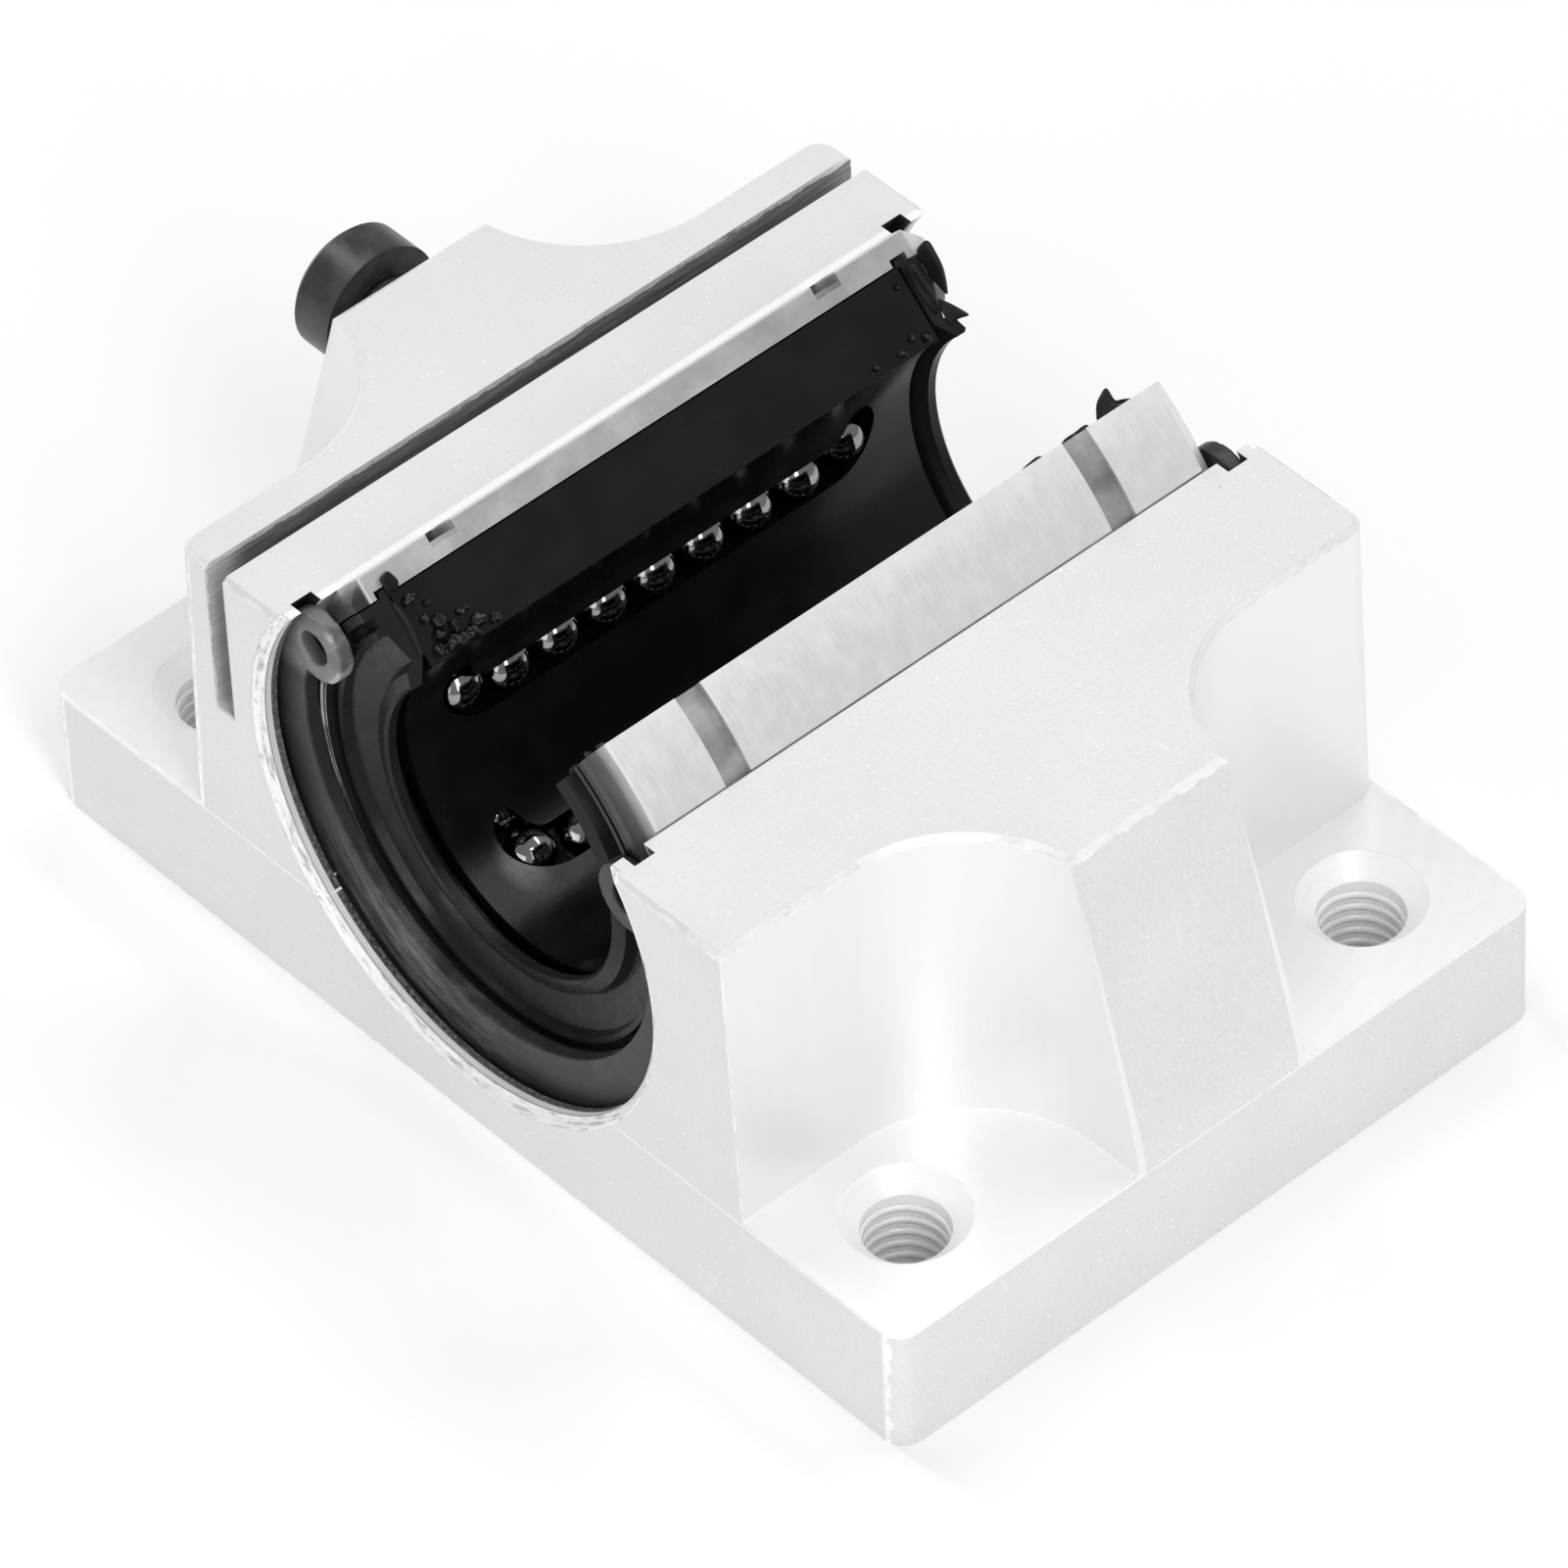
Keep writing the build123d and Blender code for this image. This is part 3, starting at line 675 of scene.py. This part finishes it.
def ball_finish():
    """Polished bearing balls with a trace of oil."""
    material, tree, shader, spot = new_finish("polished_ball_steel", 1.0, 0.06)
    smear = cloud(tree, spot, 1.0, 3.0, 0.5)
    join(tree, shades(tree, smear, [(0.3, 0.24), (0.7, 0.34)]), shader, "Base Color")
    join(tree, reach(tree, smear, 0.4, 0.7, 0.05, 0.12), shader, "Roughness")
    join(tree, relief(tree, smear, 0.01, 0.2), shader, "Normal")
    return material


def floor_finish():
    """Plain pale paper."""
    material, tree, shader, spot = new_finish("pale_paper", 0.0, 0.8)
    fibre = cloud(tree, spot, 0.02, 1.0, 0.5)
    join(tree, shades(tree, fibre, [(0.3, 0.982), (0.7, 0.996)]), shader, "Base Color")
    return material


def wear(node, material):
    """Puts a finish on a part of the frame."""
    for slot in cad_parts[node].material_slots:
        slot.material = material


# Modelling

def only(piece):
    """Leaves just this piece selected and active."""
    bpy.ops.object.select_all(action="DESELECT")
    piece.select_set(True)
    bpy.context.view_layer.objects.active = piece


def nothing_selected():
    """Clears the selection, so that an operator acts on the next new piece alone."""
    bpy.ops.object.select_all(action="DESELECT")


def settle(piece, name, material, body):
    """Names a finished piece, freezes its place into its mesh and has it ride on a body."""
    only(piece)
    bpy.ops.object.transform_apply(location=True, rotation=True, scale=True)
    piece.name = name
    piece.data.name = name
    piece.data.materials.clear()
    piece.data.materials.append(material)
    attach(piece, body)
    return piece


def close_and_turn_out():
    """In edit mode: merges doubles, fills open rims and points every face outwards."""
    bpy.ops.mesh.select_all(action="SELECT")
    bpy.ops.mesh.remove_doubles(threshold=1e-7)
    bpy.ops.mesh.select_all(action="DESELECT")
    bpy.ops.mesh.select_mode(type="EDGE")
    bpy.ops.mesh.select_non_manifold(extend=False)
    bpy.ops.mesh.fill()
    bpy.ops.mesh.select_all(action="SELECT")
    bpy.ops.mesh.normals_make_consistent(inside=False)


def cut_thread(name, x, y, material):
    """A helical ridge on the wall of one mounting hole."""
    root = HOLE_RADIUS + 0.03
    ridge = root - THREAD_CREST
    nothing_selected()
    bpy.ops.mesh.primitive_circle_add(
        vertices=3, radius=THREAD_PITCH * 0.48 * MM, location=(0, 0, 0), rotation=(math.pi / 2, 0, 0)
    )
    piece = bpy.context.object
    bpy.ops.object.transform_apply(location=True, rotation=True, scale=True)
    corners = ((-ridge, 0.0), (0.0, -0.44 * THREAD_PITCH), (0.0, 0.44 * THREAD_PITCH))
    for vertex, (inward, up) in zip(piece.data.vertices, corners):
        vertex.co = ((root + inward) * MM, 0, (THREAD_START + up) * MM)
    winding = piece.modifiers.new("winding", "SCREW")
    winding.axis = "Z"
    winding.angle = math.tau
    winding.screw_offset = THREAD_PITCH * MM
    winding.iterations = THREAD_TURNS
    winding.steps = 40
    winding.render_steps = 40
    bpy.ops.object.modifier_apply(modifier="winding")
    bpy.ops.object.mode_set(mode="EDIT")
    close_and_turn_out()
    bpy.ops.object.mode_set(mode="OBJECT")
    piece.location = (x * MM, y * MM, 0)
    return settle(piece, name, material, "block")


def build_threads():
    """The threads of the four mounting holes."""
    material = thread_finish()
    for side_x, left_right in ((-1, "left"), (1, "right")):
        for side_y, front_rear in ((-1, "front"), (1, "rear")):
            cut_thread(f"thread_{left_right}_{front_rear}", side_x * HOLE_X, side_y * HOLE_Y, material)


def on_bushing(radius, angle_deg, y):
    """A place in metres from the bushing's axis, the angle counted from straight up towards +X."""
    angle = math.radians(angle_deg)
    return Vector((radius * math.sin(angle), y, BORE_HEIGHT + radius * math.cos(angle))) * MM


def tooled(piece, tool, operation):
    """Adds or cuts away a tool, and clears the tool off."""
    only(piece)
    step = piece.modifiers.new("tool", "BOOLEAN")
    step.operation = operation
    step.solver = "EXACT"
    step.object = tool
    bpy.ops.object.modifier_apply(modifier="tool")
    only(tool)
    bpy.ops.object.delete()


def disc(radius, x, z, thickness, sides):
    """A disc that faces along Y, its place in millimetres from the ring's own axis."""
    nothing_selected()
    bpy.ops.mesh.primitive_cylinder_add(
        vertices=sides, radius=radius * MM, depth=thickness * MM,
        location=(x * MM, 0, z * MM), rotation=(math.pi / 2, 0, 0),
    )
    disc_piece = bpy.context.object
    bpy.ops.object.transform_apply(location=True, rotation=True, scale=True)
    return disc_piece


def ring_gap(side, angle):
    """A block that clears one half of the ring's gap, up from a line at that angle from upright."""
    size = 2.2 * RING_RADIUS
    turn = math.radians(angle)
    along = Vector((side * math.sin(turn), 0, math.cos(turn)))
    up = Vector((-side * math.cos(turn), 0, math.sin(turn)))
    nothing_selected()
    bpy.ops.mesh.primitive_cube_add(
        size=size * MM, location=(along + up) * (size / 2 * MM), rotation=(0, side * turn, 0)
    )
    gap = bpy.context.object
    bpy.ops.object.transform_apply(location=True, rotation=True, scale=True)
    return gap


def build_ring(end, back, ears, material):
    """A stamped spring ring with rounded edges and two holed ears, in place of the plain plate."""
    side = -1 if end == "front" else 1
    mean = (RING_FOOT + RING_TOP) / 2
    shift = (RING_FOOT - RING_TOP) / 2
    ring = disc(RING_RADIUS, 0, 0, RING_THICKNESS, 200)
    tooled(ring, disc(RING_RADIUS - mean, 0, shift, 4 * RING_THICKNESS, 200), "DIFFERENCE")
    for left_right, angle, _ in ears:
        tooled(ring, ring_gap(left_right, angle), "DIFFERENCE")
    for left_right, angle, place in ears:
        x = left_right * place * math.sin(math.radians(angle))
        z = place * math.cos(math.radians(angle))
        tooled(ring, disc(EAR_RADIUS, x, z, RING_THICKNESS, 72), "UNION")
        tooled(ring, disc(EAR_HOLE, x, z, 4 * RING_THICKNESS, 48), "DIFFERENCE")
    only(ring)
    evened = ring.modifiers.new("evened", "REMESH")
    evened.mode = "VOXEL"
    evened.voxel_size = RING_VOXEL * MM
    bpy.ops.object.modifier_apply(modifier="evened")
    rounded = ring.modifiers.new("rounded", "SMOOTH")
    rounded.factor = 0.5
    rounded.iterations = 5
    bpy.ops.object.modifier_apply(modifier="rounded")
    bpy.ops.object.shade_smooth()
    ring.location = (0, side * (back + RING_THICKNESS / 2) * MM, BORE_HEIGHT * MM)
    settle(ring, f"{end}_spring_ring", material, "block")
    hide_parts(f"{end}_retaining_ring")


def bead(name, radius, y, size, material):
    """A thin raised line on a seal's face, round from its foot to below the left ear."""
    nothing_selected()
    bpy.ops.mesh.primitive_circle_add(vertices=8, radius=size * MM, location=(radius * MM, 0, 0))
    piece = bpy.context.object
    bpy.ops.object.transform_apply(location=True, rotation=True, scale=True)
    spun = piece.modifiers.new("spun", "SCREW")
    spun.axis = "Y"
    spun.angle = math.radians(BEAD_END - BEAD_START)
    spun.steps = 96
    spun.render_steps = 96
    bpy.ops.object.modifier_apply(modifier="spun")
    bpy.ops.object.mode_set(mode="EDIT")
    close_and_turn_out()
    bpy.ops.object.mode_set(mode="OBJECT")
    bpy.ops.object.shade_smooth()
    piece.rotation_euler = (0, math.radians(BEAD_START - 90), 0)
    piece.location = (0, y * MM, BORE_HEIGHT * MM)
    return settle(piece, name, material, "block")


def torn_leaf(name, outline, thickness, rough, seed, material):
    """A torn leaf of rubber through places on the bushing, thickened, rounded and crumpled."""
    nothing_selected()
    bpy.ops.mesh.primitive_circle_add(vertices=len(outline), radius=MM, fill_type="NGON")
    piece = bpy.context.object
    for vertex, place in zip(piece.data.vertices, outline):
        vertex.co = on_bushing(*place)
    bpy.ops.object.mode_set(mode="EDIT")
    bpy.ops.mesh.select_all(action="SELECT")
    bpy.ops.mesh.poke()
    bpy.ops.mesh.subdivide(number_cuts=1)
    bpy.ops.object.mode_set(mode="OBJECT")
    bulk = piece.modifiers.new("bulk", "SOLIDIFY")
    bulk.thickness = thickness * MM
    bulk.offset = 0.0
    bpy.ops.object.modifier_apply(modifier="bulk")
    bpy.ops.object.mode_set(mode="EDIT")
    bpy.ops.mesh.select_all(action="SELECT")
    bpy.ops.transform.vertex_random(offset=rough * MM, uniform=1.0, normal=0.0, seed=seed)
    bpy.ops.mesh.normals_make_consistent(inside=False)
    bpy.ops.object.mode_set(mode="OBJECT")
    rounding = piece.modifiers.new("rounding", "SUBSURF")
    rounding.levels = 2
    rounding.render_levels = 2
    bpy.ops.object.modifier_apply(modifier="rounding")
    bpy.ops.object.shade_smooth()
    return settle(piece, name, material, "block")


def crumbs(name, seed, material, places):
    """Small lumps of grease and torn resin, one piece; each has a place and a size."""
    lumps = []
    for number, (radius, angle, y, size) in enumerate(places):
        nothing_selected()
        bpy.ops.mesh.primitive_ico_sphere_add(
            subdivisions=2, radius=size * MM, location=on_bushing(radius, angle, y)
        )
        lump = bpy.context.object
        lump.scale = (1.3, 1.0 + 0.5 * (number % 3), 0.8)
        bpy.ops.object.transform_apply(location=False, rotation=True, scale=True)
        bpy.ops.object.mode_set(mode="EDIT")
        bpy.ops.mesh.select_all(action="SELECT")
        bpy.ops.transform.vertex_random(offset=0.3 * size * MM, uniform=1.0, normal=0.5, seed=seed + number)
        bpy.ops.object.mode_set(mode="OBJECT")
        rounding = lump.modifiers.new("rounding", "SUBSURF")
        rounding.levels = 2
        rounding.render_levels = 2
        bpy.ops.object.modifier_apply(modifier="rounding")
        bpy.ops.object.shade_smooth()
        lumps.append(lump)
    nothing_selected()
    for lump in lumps:
        lump.select_set(True)
    bpy.context.view_layer.objects.active = lumps[0]
    bpy.ops.object.join()
    return settle(lumps[0], name, material, "block")


def build_beads():
    """The fine ridges round the outer rim of the front seal."""
    painted_highlight_rubber = bead_finish()
    for which, (radius, y, size) in BEADS.items():
        bead(f"seal_bead_front_{which}", radius, y, size, painted_highlight_rubber)


def build_tears(rubber, resin):
    """The torn ends of the seals, the flash along the retainer's cut faces, and its crumbs."""
    left = LEFT_EDGE
    right = RIGHT_EDGE
    leaves = {
        "seal_tear_rear_left_outer": (0.34, 0.02, 3, rubber, [
            (12.8, left, 17.8), (13.1, left + 4.6, 18.1), (11.5, left + 4.0, 18.2),
            (10.5, left + 1.4, 18.2), (9.9, left - 0.5, 18.1), (11.5, left - 0.5, 17.8),
        ]),
        "seal_tear_rear_left_inner": (0.32, 0.02, 5, rubber, [
            (12.4, left + 0.3, 16.8), (12.3, left + 3.0, 17.0), (11.0, left + 3.0, 17.1),
            (9.7, left + 1.6, 17.3), (9.4, left - 0.5, 17.0), (11.0, left - 0.3, 16.8),
        ]),
        "seal_tear_rear_left_spike": (0.26, 0.01, 7, rubber, [
            (10.4, left - 0.2, 17.4), (9.5, left + 2.4, 17.9), (8.65, left + 4.6, 18.3),
            (8.8, left + 1.6, 17.8), (8.7, left - 0.4, 17.3),
        ]),
        "seal_tear_rear_right": (0.26, 0.02, 11, rubber, [
            (12.4, right + 0.4, 17.2), (12.4, right - 0.7, 17.1), (12.4, right - 1.2, 16.3),
            (12.3, right - 6.2, 16.5), (12.2, right - 4.0, 15.5), (12.2, right + 0.3, 14.8),
        ]),
        "retainer_flash_rear_right": (0.2, 0.02, 13, resin, [
            (12.5, right + 0.2, 14.4), (12.5, right - 1.2, 14.2), (12.4, right - 0.8, 13.4),
            (12.5, right - 1.1, 12.8), (12.4, right + 0.2, 12.2),
        ]),
        "retainer_flash_right": (0.2, 0.02, 17, resin, [
            (12.5, right + 0.2, 11.4), (12.5, right - 1.2, 11.0), (12.4, right - 0.7, 10.1),
            (12.4, right + 0.2, 9.6),
        ]),
        "seal_ridge_front_left": (0.24, 0.015, 19, rubber, [
            (12.3, left, -16.6), (11.6, left + 1.5, -16.5), (10.4, left + 1.8, -16.5),
            (9.2, left + 1.0, -16.6), (9.1, left - 0.2, -16.7), (10.9, left - 0.2, -16.6),
        ]),
        "seal_tear_front_left": (0.24, 0.02, 23, rubber, [
            (12.6, left, -16.6), (13.4, left + 1.2, -16.7), (13.6, left + 1.4, -16.1),
            (12.9, left + 0.9, -15.8), (12.5, left, -15.9),
        ]),
    }
    for name, (thickness, rough, seed, material, outline) in leaves.items():
        torn_leaf(name, outline, thickness, rough, seed, material)
    crumbs("retainer_crumbs_front_left", 31, resin, [
        (9.0, left + 0.2, -15.6, 0.36), (9.6, left + 0.2, -15.1, 0.32), (8.9, left + 0.3, -14.6, 0.4),
        (9.5, left + 0.2, -14.3, 0.3), (8.8, left + 0.2, -13.7, 0.36), (9.2, left + 0.1, -13.1, 0.3),
        (10.6, left + 0.1, -15.5, 0.28), (8.8, left + 0.1, -12.2, 0.26), (10.0, left + 0.1, -13.5, 0.2),
        (11.2, left + 0.1, -15.0, 0.2), (10.2, left + 0.2, -14.9, 0.34), (11.8, left + 0.1, -15.7, 0.24),
    ])
    crumbs("retainer_crumbs_rear_left", 51, resin, [
        (8.9, left + 0.2, 15.9, 0.24), (9.2, left + 0.2, 15.2, 0.18), (8.8, left + 0.1, 14.3, 0.16),
        (11.7, left + 0.1, 15.9, 0.16), (8.9, left + 0.1, 12.6, 0.14),
    ])
    crumbs("seal_crumbs_front_right", 71, rubber, [
        (11.9, right - 0.2, -17.6, 0.24), (12.3, right - 0.3, -17.0, 0.2), (9.2, right - 0.2, -17.2, 0.2),
    ])


# Studio

def add_light(name, place, aim, size, power, size_y=None):
    """A soft rectangular lamp that faces a point."""
    data = bpy.data.lights.new(name, "AREA")
    data.shape = "RECTANGLE"
    data.size = size
    data.size_y = size_y or size
    data.energy = power
    lamp = bpy.data.objects.new(name, data)
    bpy.context.scene.collection.objects.link(lamp)
    lamp.location = place
    lamp.rotation_euler = (Vector(aim) - Vector(place)).to_track_quat("-Z", "Y").to_euler()
    return lamp


def build_studio():
    """A pale floor, a white surround and four soft lamps."""
    nothing_selected()
    bpy.ops.mesh.primitive_plane_add(size=4.0, location=(0, 0, -0.00002))
    floor = bpy.context.object
    floor.name = "floor"
    bpy.ops.object.transform_apply(location=True, rotation=True, scale=True)
    floor.data.materials.append(floor_finish())

    world = bpy.data.worlds.new("studio_world")
    world.use_nodes = True
    backdrop = world.node_tree.nodes["Background"]
    backdrop.inputs["Color"].default_value = (1.0, 1.0, 1.0, 1.0)
    backdrop.inputs["Strength"].default_value = 0.42
    bpy.context.scene.world = world

    middle = (0, 0, 0.014)
    add_light("strip_back", (-0.02, 0.3, 0.5), middle, 0.5, 0.76, 0.1)
    add_light("strip_left", (-0.34, -0.02, 0.46), middle, 0.1, 0.85, 0.5)
    add_light("strip_right", (0.4, -0.14, 0.36), middle, 0.14, 1.2, 0.5)
    add_light("front_fill", (0.1, -0.6, 0.22), middle, 0.5, 0.8, 0.3)
    bpy.context.scene.view_settings.view_transform = "Standard"


def build_camera():
    """The photograph's own view, fitted to the block's measured corners."""
    azimuth, elevation, roll = (math.radians(a) for a in (VIEW_AZIMUTH, VIEW_ELEVATION, VIEW_ROLL))
    offset = Vector(VIEW_OFFSET) * MM
    back = Vector((
        math.sin(azimuth) * math.cos(elevation),
        -math.cos(azimuth) * math.cos(elevation),
        math.sin(elevation),
    ))
    level = Vector((0, 0, 1)).cross(back).normalized()
    upward = back.cross(level)
    right = level * math.cos(roll) + upward * math.sin(roll)
    up = upward * math.cos(roll) - level * math.sin(roll)
    turn = Matrix((right, up, back)).transposed()
    data = bpy.data.cameras.new("photo_camera")
    data.sensor_width = SENSOR_WIDTH
    data.lens = LENS_PIXELS / PHOTO_PIXELS * SENSOR_WIDTH
    data.clip_start = 0.01
    data.clip_end = 20.0
    camera = bpy.data.objects.new("photo_camera", data)
    bpy.context.scene.collection.objects.link(camera)
    camera.matrix_world = Matrix.Translation(turn @ offset) @ turn.to_4x4()
    bpy.context.scene.camera = camera


def dress_frame():
    """Gives every node of the frame its finish and builds the rings; the tears use two finishes again."""
    resin = resin_finish()
    seal = seal_finish()
    ring = ring_finish()
    wear("housing", aluminium_finish())
    wear("outer_sleeve", sleeve_finish())
    wear("ball_retainer", resin)
    for end in ("front", "rear"):
        wear(f"{end}_seal", seal)
    for end, (back, ears) in RINGS.items():
        build_ring(end, back, ears, ring)
    wear("adjusting_screw", screw_finish())
    steel = ball_finish()
    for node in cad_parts:
        if node.endswith("_balls"):
            wear(node, steel)
    return seal, resin


rubber, resin = dress_frame()
build_threads()
build_beads()
build_tears(rubber, resin)
build_studio()
build_camera()
